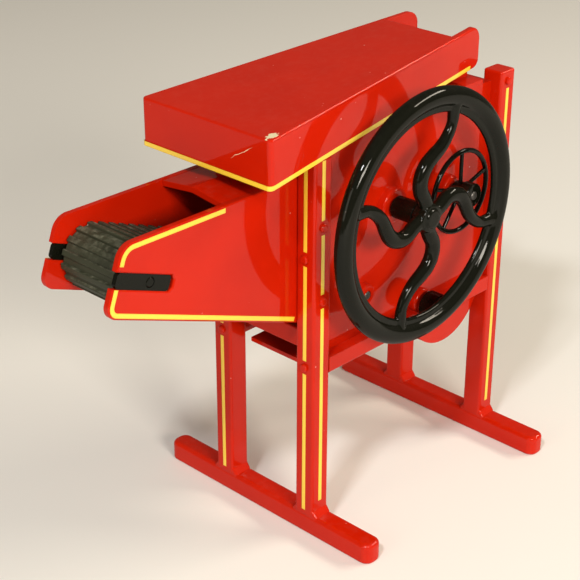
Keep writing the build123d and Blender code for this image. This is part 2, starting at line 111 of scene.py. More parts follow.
def settle(piece: bpy.types.Object) -> None:
    """Put a piece's place, turn and size into its mesh."""
    select_only(piece)
    bpy.ops.object.transform_apply(location=True, rotation=True, scale=True)


def apply_modifier(piece: bpy.types.Object, kind: str, **settings: object) -> None:
    """Add a modifier with the given settings and apply it.

    Args:
        piece: The mesh object.
        kind: Blender's name for the modifier type.
        settings: Modifier properties to set.
    """
    select_only(piece)
    modifier = piece.modifiers.new(kind.lower(), kind)
    for name, value in settings.items():
        setattr(modifier, name, value)
    bpy.ops.object.modifier_apply(modifier=modifier.name)


def recalculate(piece: bpy.types.Object) -> None:
    """Merge doubled points and make every face look outwards.

    Args:
        piece: The mesh object.
    """
    select_only(piece)
    bpy.ops.object.mode_set(mode="EDIT")
    bpy.ops.mesh.select_all(action="SELECT")
    bpy.ops.mesh.remove_doubles(threshold=0.001 * MM)
    bpy.ops.mesh.normals_make_consistent(inside=False)
    bpy.ops.object.mode_set(mode="OBJECT")


def finish_piece(
    piece: bpy.types.Object, name: str, material: bpy.types.Material, body: str
) -> None:
    """Name a piece, dress it and let it ride on its body.

    Args:
        piece: The finished mesh object.
        name: The piece's name.
        material: Its finish.
        body: The body that it moves with.
    """
    piece.name = name
    piece.data.name = name
    piece.data.materials.clear()
    piece.data.materials.append(material)
    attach(piece, body)
    LOG.info("built %s on %s", name, body)


# ---------------------------------------------------------------- shader nodes
class NodeBench:
    """Adds nodes to one shader tree and joins them."""

    def __init__(self, tree: bpy.types.NodeTree) -> None:
        """Work on a tree."""
        self.tree = tree

    def node(self, kind: str, **settings: object) -> bpy.types.Node:
        """Add a node.

        Args:
            kind: Blender's name for the node type.
            settings: Node properties to set.

        Returns:
            The new node.
        """
        node = self.tree.nodes.new(kind)
        for key, value in settings.items():
            setattr(node, key, value)
        return node

    def feed(self, target: bpy.types.NodeSocket, value: object) -> None:
        """Give an input a fixed value, or join it to another socket.

        Args:
            target: The input.
            value: A number, a vector, a colour with alpha or an output socket.
        """
        if isinstance(value, bpy.types.NodeSocket):
            self.tree.links.new(value, target)
        else:
            target.default_value = value

    def place(self) -> bpy.types.NodeSocket:
        """Return the surface point in the machine's own frame."""
        return self.node("ShaderNodeTexCoord").outputs["Object"]

    def math(self, operation: str, *values: Feed) -> bpy.types.NodeSocket:
        """Work out a number, keeping plain products and sums between 0 and 1.

        Args:
            operation: Blender's name for the operation.
            values: Its inputs in order.

        Returns:
            The result.
        """
        node = self.node("ShaderNodeMath", operation=operation, use_clamp=operation in ("MULTIPLY", "ADD"))
        for target, value in zip(node.inputs, values):
            self.feed(target, value)
        return node.outputs[0]

    def vector(self, operation: str, *values: object) -> bpy.types.Node:
        """Add a vector math node.

        Args:
            operation: Blender's name for the operation.
            values: Its inputs in order, as sockets or fixed vectors.

        Returns:
            The node, whose result is its Vector or its Value.
        """
        node = self.node("ShaderNodeVectorMath", operation=operation)
        for target, value in zip(node.inputs, values):
            self.feed(target, value)
        return node

    def ramp(
        self, value: bpy.types.NodeSocket, start: float, end: float, rise: Rise = Rise.SMOOTH
    ) -> bpy.types.NodeSocket:
        """Return a mask that is 0 before one value and 1 past another.

        Args:
            value: The socket to read.
            start: Where the mask leaves 0.
            end: Where it reaches 1, above or below the start.
            rise: How it goes between them.

        Returns:
            The mask.
        """
        node = self.node("ShaderNodeMapRange", interpolation_type=rise.value)
        self.feed(node.inputs["From Min"], start)
        self.feed(node.inputs["From Max"], end)
        self.feed(node.inputs["Value"], value)
        return node.outputs["Result"]

    def blend(self, mask: bpy.types.NodeSocket, low: float, high: float) -> bpy.types.NodeSocket:
        """Return a number that follows a mask.

        Args:
            mask: A socket between 0 and 1.
            low: The number where the mask is 0.
            high: The number where it is 1.

        Returns:
            The number's socket.
        """
        node = self.node("ShaderNodeMapRange")
        self.feed(node.inputs["To Min"], low)
        self.feed(node.inputs["To Max"], high)
        self.feed(node.inputs["Value"], mask)
        return node.outputs["Result"]

    def noise(self, scale: Feed, detail: float, rough: float = 0.55) -> bpy.types.NodeSocket:
        """Return cloudy noise over the machine.

        Args:
            scale: How many clouds there are to a metre.
            detail: How many finer layers are added.
            rough: How strong the finer layers are.

        Returns:
            A socket between 0 and 1.
        """
        node = self.node("ShaderNodeTexNoise")
        self.feed(node.inputs["Scale"], scale)
        self.feed(node.inputs["Detail"], detail)
        self.feed(node.inputs["Roughness"], rough)
        self.feed(node.inputs["Vector"], self.place())
        return node.outputs["Fac"]

    def mix(self, mask: bpy.types.NodeSocket, first: object, second: object) -> bpy.types.NodeSocket:
        """Return two colours mixed by a mask.

        Args:
            mask: A socket between 0 and 1.
            first: The colour where the mask is 0, as a socket or a tuple.
            second: The colour where it is 1, as a socket or a tuple.

        Returns:
            The mixed colour.
        """
        node = self.node("ShaderNodeMix", data_type="RGBA")
        self.feed(node.inputs["Factor"], mask)
        for name, value in (("A", first), ("B", second)):
            target = next(i for i in node.inputs if i.name == name and i.type == "RGBA")
            self.feed(target, (*value, 1.0) if isinstance(value, tuple) else value)
        return next(o for o in node.outputs if o.type == "RGBA")

    def group(self, shared: bpy.types.NodeTree, **values: float) -> bpy.types.NodeSocket:
        """Place a shared group.

        Args:
            shared: The group.
            values: Its inputs by name.

        Returns:
            The group's one output.
        """
        node = self.node("ShaderNodeGroup", node_tree=shared)
        for name, value in values.items():
            self.feed(node.inputs[name], value)
        return node.outputs[0]


class GroupBuilder(NodeBench):
    """Makes one shader group with named number inputs and one output."""

    def __init__(self, name: str) -> None:
        """Start an empty group.

        Args:
            name: The group's name.
        """
        super().__init__(bpy.data.node_groups.new(name, "ShaderNodeTree"))
        self.source = self.node("NodeGroupInput")
        self.sink = self.node("NodeGroupOutput")

    def value_in(self, name: str, default: float) -> bpy.types.NodeSocket:
        """Add a number input.

        Args:
            name: The input's name.
            default: Its value where none is given.

        Returns:
            Its socket inside the group.
        """
        socket = self.tree.interface.new_socket(name, in_out="INPUT", socket_type="NodeSocketFloat")
        socket.default_value = default
        return self.source.outputs[name]

    def finish(self, name: str, value: bpy.types.NodeSocket) -> bpy.types.NodeTree:
        """Add the output and close the group.

        Args:
            name: The output's name.
            value: The socket that feeds it.

        Returns:
            The finished group.
        """
        self.tree.interface.new_socket(name, in_out="OUTPUT", socket_type="NodeSocketFloat")
        self.feed(self.sink.inputs[name], value)
        return self.tree


class ShaderKit:
    """The shader groups that the finishes share."""

    def __init__(self) -> None:
        """Build every group once."""
        self.ripple = self.build_ripple()
        self.wear = self.build_wear()
        self.dust = self.build_dust()
        self.specks = self.build_specks()

    def build_ripple(self) -> bpy.types.NodeTree:
        """Make the ripple of sprayed enamel over a cast surface.

        Returns:
            A group that gives a height.
        """
        group = GroupBuilder("enamel_ripple")
        scale = group.value_in("Scale", 900.0)
        fine = group.math("MULTIPLY", group.noise(scale, detail=2.0), 0.35)
        broad = group.math("MULTIPLY", group.noise(140.0, detail=2.0), 0.65)
        return group.finish("Height", group.math("ADD", fine, broad))

    def build_wear(self) -> bpy.types.NodeTree:
        """Make the mask of rubbed edges, where a bevelled normal leaves the true one.

        Returns:
            A group that gives a mask.
        """
        group = GroupBuilder("edge_wear")
        amount = group.value_in("Amount", 0.3)
        shape = group.node("ShaderNodeNewGeometry")
        soft = group.node("ShaderNodeBevel", samples=4)
        group.feed(soft.inputs["Radius"], 0.5 * MM)
        turn = group.vector("DOT_PRODUCT", shape.outputs["Normal"], soft.outputs["Normal"])
        edge = group.math("SUBTRACT", 1.0, group.ramp(turn.outputs["Value"], start=0.80, end=0.97))
        patches = group.ramp(group.noise(260.0, detail=6.0, rough=0.7), start=0.56, end=0.68)
        return group.finish("Mask", group.math("MULTIPLY", group.math("MULTIPLY", edge, patches), amount))

    def build_dust(self) -> bpy.types.NodeTree:
        """Make the mask of dust on faces that look up.

        Returns:
            A group that gives a mask.
        """
        group = GroupBuilder("dust_film")
        amount = group.value_in("Amount", 0.3)
        scale = group.value_in("Scale", 400.0)
        shape = group.node("ShaderNodeNewGeometry")
        split = group.node("ShaderNodeSeparateXYZ")
        group.feed(split.inputs[0], shape.outputs["Normal"])
        up = group.ramp(split.outputs["Z"], start=0.3, end=1.0)
        cloud = group.ramp(group.noise(scale, detail=6.0, rough=0.65), start=0.40, end=0.80)
        return group.finish("Mask", group.math("MULTIPLY", group.math("MULTIPLY", up, cloud), amount))

    def build_specks(self) -> bpy.types.NodeTree:
        """Make the mask of small bright dust specks.

        Returns:
            A group that gives a mask.
        """
        group = GroupBuilder("dust_specks")
        amount = group.value_in("Amount", 0.5)
        cells = group.node("ShaderNodeTexVoronoi", feature="F1")
        group.feed(cells.inputs["Scale"], 330.0)
        group.feed(cells.inputs["Vector"], group.place())
        dot = group.math("SUBTRACT", 1.0, group.ramp(cells.outputs["Distance"], start=0.05, end=0.11))
        rare = group.ramp(group.noise(170.0, detail=2.0), start=0.60, end=0.66)
        return group.finish("Mask", group.math("MULTIPLY", group.math("MULTIPLY", dot, rare), amount))


# ---------------------------------------------------------------- finishes
@dataclass(frozen=True)
class Chip:
    """A ragged chip in the paint."""

    centre: Point
    reach: float = 2.6 * MM
    squash: tuple[float, float, float] = (0.62, 1.0, 2.0)
    ragged: float = 2.6 * MM
    ragged_scale: float = 700.0
    fade: float = 0.2 * MM

    def mask(self, bench: NodeBench) -> bpy.types.NodeSocket:
        """Return where the paint is gone.

        Args:
            bench: The material's tree.

        Returns:
            A mask of the chip.
        """
        away = bench.vector("SUBTRACT", bench.place(), self.centre).outputs["Vector"]
        squashed = bench.vector("MULTIPLY", away, self.squash).outputs["Vector"]
        distance = bench.vector("LENGTH", squashed).outputs["Value"]
        noise = bench.noise(self.ragged_scale, detail=2.0, rough=0.5)
        uneven = bench.math("MULTIPLY_ADD", noise, self.ragged, distance)
        return bench.ramp(uneven, self.reach + self.fade, self.reach, Rise.STRAIGHT)


@dataclass(frozen=True)
class Scratch:
    """A fine wavering scratch on a face that looks along X."""

    start: Point
    end: Point
    width: float = 0.14 * MM
    depth: float = 1.0 * MM
    waver: float = 1.2 * MM
    waver_scale: float = 380.0
    outer_share: float = 1.4
    inner_share: float = 0.6

    def mask(self, bench: NodeBench) -> bpy.types.NodeSocket:
        """Return where the paint is gone.

        The mask is a thin box, bounded along the scratch, across it and into the face.

        Args:
            bench: The material's tree.

        Returns:
            A mask of the scratch.
        """
        start, end = Vector(self.start), Vector(self.end)
        middle = (start + end) / 2
        along = (end - start).normalized()
        noise = bench.noise(self.waver_scale, detail=2.0, rough=0.5)
        line = 1.0
        for way, reach, waver in (
            (along, (end - start).length / 2, 0.0),
            (along.cross(BACK), self.width / 2, self.waver),
            (BACK, self.depth, 0.0),
        ):
            at = bench.vector("DOT_PRODUCT", bench.place(), way).outputs["Value"]
            bent = bench.math("MULTIPLY_ADD", noise, waver, at)
            off = bench.math("ABSOLUTE", bench.math("SUBTRACT", bent, middle.dot(way) + waver / 2))
            near = bench.ramp(off, reach * self.outer_share, reach * self.inner_share, Rise.STRAIGHT)
            line = bench.math("MULTIPLY", near, line)
        return line


@dataclass(frozen=True)
class Finish:
    """A painted, rubber or metal finish, and how dusty and worn it is."""

    name: str
    colour: Colour
    shade: Colour
    roughness: float
    metallic: float = 0.0
    coat: float = 0.0
    coat_roughness: float = 0.05
    specular: float = 0.35
    cloud_scale: float = 55.0
    edge: float = 0.45 * MM
    ripple: float = 0.02 * MM
    ripple_scale: float = 900.0
    dust: float = 0.1
    dust_scale: float = 400.0
    dust_colour: Colour = (0.42, 0.36, 0.28)
    dust_roughness: float = 0.45
    specks: float = 0.0
    speck_colour: Colour = (0.75, 0.70, 0.62)
    wear: float = 0.0
    under: Colour = (0.55, 0.52, 0.47)
    under_metallic: float = 0.8
    flaws: tuple[Chip | Scratch, ...] = ()

    def build(self, kit: ShaderKit) -> bpy.types.Material:
        """Make the material of this finish.

        Args:
            kit: The shared shader groups.

        Returns:
            The new material.
        """
        material = bpy.data.materials.new(self.name)
        material.use_nodes = True
        bench = NodeBench(material.node_tree)
        shader = bench.tree.nodes["Principled BSDF"]
        dust = bench.group(kit.dust, Amount=self.dust, Scale=self.dust_scale)
        bare = self.bare(bench, kit)
        dusty = min(1.0, self.roughness + self.dust_roughness)
        for name, value in (
            ("Specular IOR Level", self.specular),
            ("Coat Weight", self.coat),
            ("Coat Roughness", self.coat_roughness),
            ("Base Color", self.skin(bench, kit, dust, bare)),
            ("Roughness", bench.blend(dust, self.roughness, dusty)),
            ("Metallic", bench.blend(bare, self.metallic, self.under_metallic)),
            ("Normal", self.relief(bench, kit)),
        ):
            bench.feed(shader.inputs[name], value)
        return material

    def bare(self, bench: NodeBench, kit: ShaderKit) -> bpy.types.NodeSocket:
        """Return where what is under the finish shows.

        Args:
            bench: The material's tree.
            kit: The shared shader groups.

        Returns:
            A mask of rubbed edges and flaws.
        """
        mask = bench.group(kit.wear, Amount=self.wear)
        for flaw in self.flaws:
            mask = bench.math("MAXIMUM", flaw.mask(bench), mask)
        return mask

    def skin(
        self, bench: NodeBench, kit: ShaderKit, dust: bpy.types.NodeSocket, bare: bpy.types.NodeSocket
    ) -> bpy.types.NodeSocket:
        """Return the surface's colour.

        Args:
            bench: The material's tree.
            kit: The shared shader groups.
            dust: The mask of dust.
            bare: The mask of what shows from under the finish.

        Returns:
            The colour's socket.
        """
        cloud = bench.noise(self.cloud_scale, detail=4.0, rough=0.5)
        colour = bench.mix(cloud, self.colour, self.shade)
        colour = bench.mix(dust, colour, self.dust_colour)
        if self.specks:
            colour = bench.mix(bench.group(kit.specks, Amount=self.specks), colour, self.speck_colour)
        return bench.mix(bare, colour, self.under)

    def relief(self, bench: NodeBench, kit: ShaderKit) -> bpy.types.NodeSocket:
        """Return the surface's normals, softened at the edges and rippled.

        Args:
            bench: The material's tree.
            kit: The shared shader groups.

        Returns:
            The normals' socket.
        """
        soft = bench.node("ShaderNodeBevel", samples=4)
        bench.feed(soft.inputs["Radius"], self.edge)
        bump = bench.node("ShaderNodeBump")
        bench.feed(bump.inputs["Strength"], 1.0)
        bench.feed(bump.inputs["Distance"], self.ripple)
        bench.feed(bump.inputs["Height"], bench.group(kit.ripple, Scale=self.ripple_scale))
        bench.feed(bump.inputs["Normal"], soft.outputs["Normal"])
        return bump.outputs["Normal"]


@dataclass(frozen=True)
class Palette:
    """Every finish on the machine."""

    enamel: Finish = Finish(
        "red_enamel", colour=(0.56, 0.013, 0.0005), shade=(0.44, 0.008, 0.0005), roughness=0.45,
        coat=0.42, coat_roughness=0.04, specular=0.02, dust=0.03, specks=0.35, wear=0.10,
    )
    hood: Finish = replace(
        enamel, name="red_enamel_chipped", specks=0.5, wear=0.12,
        under=(0.80, 0.70, 0.45), under_metallic=0.1,
        flaws=(
            Chip(centre=(-0.0312, -0.0238, 0.1410)),
            Scratch(start=(-0.034, -0.0180, 0.1367), end=(-0.034, -0.0117, 0.1328)),
        ),
    )
    black: Finish = Finish(
        "black_enamel", colour=(0.003, 0.0035, 0.002), shade=(0.005, 0.0055, 0.003), roughness=0.50,
        coat=0.32, coat_roughness=0.02, specular=0.01, dust=0.01, specks=0.2,
    )
    rubber: Finish = Finish(
        "belt_rubber", colour=(0.020, 0.022, 0.012), shade=(0.040, 0.044, 0.022), roughness=0.62,
        ripple=0.05 * MM, ripple_scale=1600.0, dust=0.8, dust_scale=420.0, dust_colour=(0.20, 0.20, 0.14),
        specks=0.9, wear=0.3, under=(0.16, 0.16, 0.11),
    )
    steel: Finish = Finish(
        "bare_steel", colour=(0.17, 0.165, 0.155), shade=(0.12, 0.115, 0.11), roughness=0.36,
        metallic=1.0, dust=0.12, wear=0.3, under=(0.6, 0.59, 0.56),
    )
    stripe: Finish = Finish(
        "stripe_yellow", colour=(0.93, 0.66, 0.055), shade=(0.86, 0.56, 0.035), roughness=0.38,
        coat=0.6, dust=0.05,
    )


# ---------------------------------------------------------------- pinstripes
@dataclass
class Ribbon:
    """A flat painted line, drawn out edge by edge from a small square."""

    width: float = 1.4 * MM
    proud: float = 0.05 * MM
    steps: int = 8
    piece: bpy.types.Object | None = field(default=None, init=False)

    def start(self, point: Vector, travel: Vector, across: Vector) -> None:
        """Lay the first square with its end edge selected.

        Args:
            point: Middle of the line's start.
            travel: Direction that the line leaves in.
            across: Direction of the line's width.
        """
        travel = travel.normalized()
        across = across.normalized()
        turn = Matrix((travel, across, travel.cross(across))).transposed()
        clear_selection()
        bpy.ops.mesh.primitive_plane_add(
            size=self.width, location=point + travel * self.width / 2, rotation=turn.to_euler()
        )
        self.piece = bpy.context.object
        settle(self.piece)
        reach = [vertex.co.dot(travel) for vertex in self.piece.data.vertices]
        middle = (min(reach) + max(reach)) / 2
        bpy.ops.object.mode_set(mode="EDIT")
        bpy.ops.mesh.select_mode(type="VERT")
        bpy.ops.mesh.select_all(action="DESELECT")
        bpy.ops.object.mode_set(mode="OBJECT")
        for vertex, far in zip(self.piece.data.vertices, reach):
            vertex.select = far > middle
        bpy.ops.object.mode_set(mode="EDIT")
        bpy.ops.mesh.select_mode(type="EDGE")

    def run(self, step: Vector) -> None:
        """Draw the line straight on by a step."""
        bpy.ops.mesh.extrude_region_move(TRANSFORM_OT_translate={"value": step})

    def bend(self, centre: Vector, axis: Vector, angle: float) -> None:
        """Draw the line round an arc.

        Args:
            centre: The arc's centre.
            axis: The direction that it turns about.
            angle: How far it turns, right-handed, in radians.
        """
        # The spin tool turns left-handed when Blender runs with no window, so the angle is negated.
        bpy.ops.mesh.spin(steps=self.steps, angle=-angle, center=centre, axis=axis)

    def finish(self) -> bpy.types.Object:
        """Give the line the thickness of its paint.

        Returns:
            The line.
        """
        bpy.ops.object.mode_set(mode="OBJECT")
        recalculate(self.piece)
        apply_modifier(self.piece, "SOLIDIFY", thickness=2 * self.proud, offset=0.0)
        recalculate(self.piece)
        return self.piece


@dataclass
class LegStripes:
    """Pinstripes down the legs, broken at each bolt head that they meet. Sizes are in millimetres."""

    leg_centre: float = 18.0
    front_top: float = 127.0
    rear_top: float = 127.7
    front_low: float = 8.6
    side_low: float = 12.0
    gap: float = 2.3
    front_breaks: tuple[float, ...] = (60.1, 96.2)
    side_breaks: tuple[float, ...] = (82.4, 106.2)

    def spans(self, low: float, high: float, breaks: tuple[float, ...]) -> list[tuple[float, float]]:
        """Work out the stretches of stripe left between the breaks.

        Args:
            low: The line's lowest point.
            high: Its highest point.
            breaks: Heights of the bolt heads.

        Returns:
            The lowest and highest point of each stretch.
        """
        edges = [low]
        for spot in breaks:
            edges += [spot - self.gap, spot + self.gap]
        edges.append(high)
        return list(zip(edges[::2], edges[1::2]))

    def build(self, material: bpy.types.Material) -> None:
        """Draw every leg's lines.

        Args:
            material: The stripe paint.
        """
        for node, top, breaks in (
            ("front_frame", self.front_top, self.side_breaks),
            ("rear_frame", self.rear_top, ()),
        ):
            low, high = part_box(node)
            middle_x = (low.x + high.x) / 2
            face = self.leg_centre * MM + (high.x - low.x) / 2
            for side in Side:
                name = f"{node}_side_stripe_{side.name.lower()}"
                spot = Vector((middle_x, side.value * face, 0))
                self.draw(name, material, spot, BACK, self.spans(self.side_low, top, breaks))
        front_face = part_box("front_frame")[0].x
        for side in Side:
            name = f"front_frame_front_stripe_{side.name.lower()}"
            spot = Vector((front_face, side.value * self.leg_centre * MM, 0))
            spans = self.spans(self.front_low, self.front_top, self.front_breaks)
            self.draw(name, material, spot, RIGHT, spans)

    def draw(
        self, name: str, material: bpy.types.Material, spot: Vector, across: Vector,
        spans: list[tuple[float, float]],
    ) -> None:
        """Draw one leg face's broken line and join its stretches.

        Args:
            name: The piece's name.
            material: The stripe paint.
            spot: A point under the line at floor level.
            across: Direction of the line's width.
            spans: Lowest and highest point of each stretch.
        """
        parts = []
        for low, high in spans:
            ribbon = Ribbon()
            ribbon.start(spot + UP * low * MM, UP, across)
            ribbon.run(UP * ((high - low) * MM - ribbon.width))
            parts.append(ribbon.finish())
        select_only(*parts)
        bpy.ops.object.join()
        finish_piece(bpy.context.object, name, material, "root")


@dataclass
class HoodStripe:
    """The line round the hood's lower edge: left side, front and right side. Sizes are in millimetres.

    The hood narrows towards the back by the taper, and its lower edge climbs by the slope.
    """

    rise: float = 0.95
    corner: float = 1.4
    rear_gap: float = 5.0
    front_half: float = 26.2
    taper: float = 10.8 / 92.8
    low_front: float = 126.2
    slope: float = 0.0786

    def build(self, material: bpy.types.Material) -> None:
        """Draw the line as one piece that bends round both front corners.

        Args:
            material: The stripe paint.
        """
        low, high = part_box("hood")
        front_x = low.x / MM
        rear_x = high.x / MM - self.rear_gap
        lean = math.atan(self.taper)
        turn = math.pi / 2 - lean
        tangent = self.corner * math.tan(turn / 2)
        half_front = self.front_half - tangent
        along = Vector((math.cos(lean), math.sin(lean), 0))
        corner_end = Vector((front_x, -self.front_half, self.low_front + self.rise)) + along * tangent
        length = (rear_x - corner_end.x) / along.x
        climb = self.slope * (rear_x - front_x)
        side_start = corner_end + along * length + UP * climb
        side = corner_end - side_start
        centre = corner_end + Vector((-along.y, along.x, 0)) * self.corner
        far_centre = Vector((centre.x, -centre.y, centre.z))
        ribbon = Ribbon()
        ribbon.start(side_start * MM, -along, UP)
        ribbon.run(side * MM + along * ribbon.width)
        ribbon.bend(centre * MM, UP, -turn)
        ribbon.run(RIGHT * 2 * half_front * MM)
        ribbon.bend(far_centre * MM, UP, -turn)
        ribbon.run(Vector((-side.x, side.y, -side.z)) * MM)
        finish_piece(ribbon.finish(), "hood_stripe", material, "hood_set")


@dataclass
class FeederStripes:
    """The lines round the outside of the feeder's two sides.

    The outline is in millimetres, with the nose's two corners where its straight edges would meet.
    """

    inset: float = 1.25
    nose_top_x: float = -76.4
    nose_x: float = -83.42
    nose_z: float = 101.7
    line_end_x: float = -12.4
    top_end_x: float = -39.8
    top_radius: float = 5.5
    low_radius: float = 3.6
    slot_low: float = 109.0
    slot_high: float = 114.9

    def offset(self, a: Vector, b: Vector) -> tuple[Vector, Vector]:
        """Move an outline edge inwards.

        Args:
            a: The edge's first corner, as x and z.
            b: Its second corner, going round with the inside on the left.

        Returns:
            The moved first corner and the unit direction.
        """
        way = (b - a).normalized()
        return a + Vector((-way.y, way.x)) * self.inset, way

    def cross(self, a: Vector, way_a: Vector, b: Vector, way_b: Vector) -> Vector:
        """Find where two lines meet.

        Args:
            a: A point on the first line, as x and z.
            way_a: The first line's direction.
            b: A point on the second line.
            way_b: The second line's direction.

        Returns:
            The meeting point.
        """
        gap = b - a
        step = (gap.x * way_b.y - gap.y * way_b.x) / (way_a.x * way_b.y - way_a.y * way_b.x)
        return a + way_a * step

    def build(self, material: bpy.types.Material) -> None:
        """Draw both lines on each side.

        Args:
            material: The stripe paint.
        """
        for side in Side:
            low, high = (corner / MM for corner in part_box(f"{side.name.lower()}_feeder_side"))
            face = low.y if side is Side.LEFT else high.y
            top_rear = Vector((high.x, high.z))
            top_nose = Vector((self.nose_top_x, high.z))
            low_nose = Vector((self.nose_x, self.nose_z))
            low_rear = Vector((high.x, low.z))
            top_at, top_way = self.offset(top_rear, top_nose)
            nose_at, nose_way = self.offset(top_nose, low_nose)
            low_at, low_way = self.offset(low_nose, low_rear)
            top_corner = self.cross(top_at, top_way, nose_at, nose_way)
            low_corner = self.cross(nose_at, nose_way, low_at, low_way)
            nose_high = top_corner + nose_way * (self.slot_high - top_corner.y) / nose_way.y
            nose_low = top_corner + nose_way * (self.slot_low - top_corner.y) / nose_way.y
            top_start = Vector((self.top_end_x, top_at.y))
            low_end = low_corner + low_way * (self.line_end_x - low_corner.x) / low_way.x
            for name, path, radius in (
                ("upper", (top_start, top_corner, nose_high), self.top_radius - self.inset),
                ("lower", (nose_low, low_corner, low_end), self.low_radius - self.inset),
            ):
                self.draw(f"feeder_stripe_{name}_{side.name.lower()}", path, radius, face, material)

    def draw(
        self, name: str, path: tuple[Vector, Vector, Vector], radius: float, face: float,
        material: bpy.types.Material,
    ) -> None:
        """Draw one line with one rounded corner.

        Args:
            name: The piece's name.
            path: Start, corner and end, as x and z.
            radius: Radius of the corner at the line's middle.
            face: The y of the face that it lies on.
            material: The stripe paint.
        """
        start, corner, end = path
        way_in = (corner - start).normalized()
        way_out = (end - corner).normalized()
        turn = math.acos(max(-1.0, min(1.0, way_in.dot(way_out))))
        tangent = radius * math.tan(turn / 2)
        bend_start = corner - way_in * tangent
        bend_end = corner + way_out * tangent
        left_hand = way_in.x * way_out.y - way_in.y * way_out.x > 0
        inward = Vector((-way_in.y, way_in.x)) * (1 if left_hand else -1)
        centre = bend_start + inward * radius

        def lift(point: Vector) -> Vector:
            """Return a drawing point on the face, in metres."""
            return mm(point.x, face, point.y)

        ribbon = Ribbon()
        travel = Vector((way_in.x, 0, way_in.y))
        ribbon.start(lift(start), travel, Vector((-way_in.y, 0, way_in.x)))
        ribbon.run(lift(bend_start) - lift(start) - travel * ribbon.width)
        ribbon.bend(lift(centre), RIGHT, -turn if left_hand else turn)
        ribbon.run(lift(end) - lift(bend_end))
        finish_piece(ribbon.finish(), name, material, "root")


